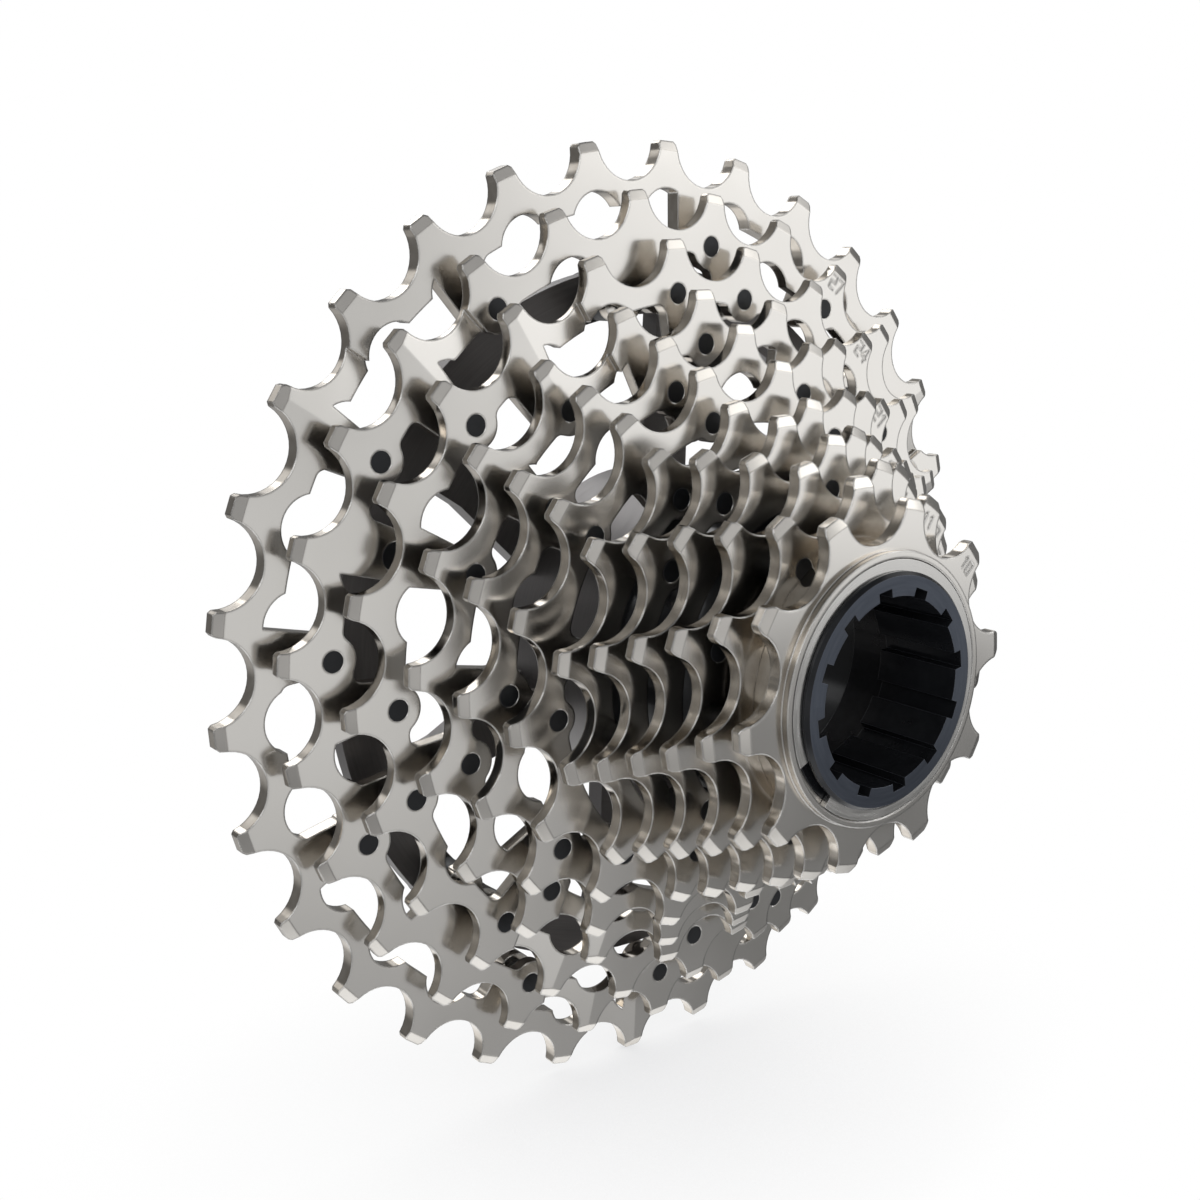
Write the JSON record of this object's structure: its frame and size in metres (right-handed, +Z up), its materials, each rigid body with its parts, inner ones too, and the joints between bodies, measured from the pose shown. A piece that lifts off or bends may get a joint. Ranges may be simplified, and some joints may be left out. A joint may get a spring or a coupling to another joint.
{
  "type": "bicycle cassette sprocket",
  "caption": "Stepped cone of thin toothed plates pinned together on a splined carrier, held to a freewheel driver by a central notched lock tube.",
  "frame": {"origin": "on the cassette axis, in the plane of the outer face of the largest plate, inside the splined bore of the hub carrier", "axes": "+Y along the axis toward the wheel, the smallest plate faces -Y, +Z up, +X to the right when looking along +Y"},
  "size_m": [0.1232, 0.0468, 0.1236],
  "materials": {
    "plated_steel": "bright nickel plate, satin faces and polished edges",
    "dark_pin_steel": "black oxide",
    "dark_anodised_aluminium": "dark grey anodised, lightly brushed",
    "black_anodised_aluminium": "black anodised, semi-gloss",
    "spring_steel": "bright"
  },
  "bodies": {
    "cassette": {"hub_carrier": "dark_anodised_aluminium", "carrier_rivets": "dark_pin_steel", "sprocket_30": "plated_steel", "sprocket_27": "plated_steel", "sprocket_24": "plated_steel", "sprocket_21": "plated_steel", "sprocket_19": "plated_steel", "sprocket_17": "plated_steel", "sprocket_15": "plated_steel", "sprocket_14": "plated_steel", "sprocket_13": "plated_steel", "sprocket_12": "plated_steel", "sprocket_11": "plated_steel", "sprocket_10": "plated_steel", "pins_30_27": "dark_pin_steel", "pins_27_24": "dark_pin_steel", "pins_24_21": "dark_pin_steel", "pins_21_19": "dark_pin_steel", "pins_19_17": "dark_pin_steel", "pins_17_15": "dark_pin_steel", "pins_15_14": "dark_pin_steel", "pins_14_13": "dark_pin_steel", "pins_13_12": "dark_pin_steel", "pins_12_11": "dark_pin_steel"},
    "lock_tube": {"lock_tube": "black_anodised_aluminium", "retaining_ring": "spring_steel"}
  },
  "joints": [
    {"name": "lock_tube_spin", "type": "hinge", "parent": "cassette", "child": "lock_tube", "pos_m": [0, -0.03, 0], "axis": [0, 1, 0], "continuous": true}
  ]
}
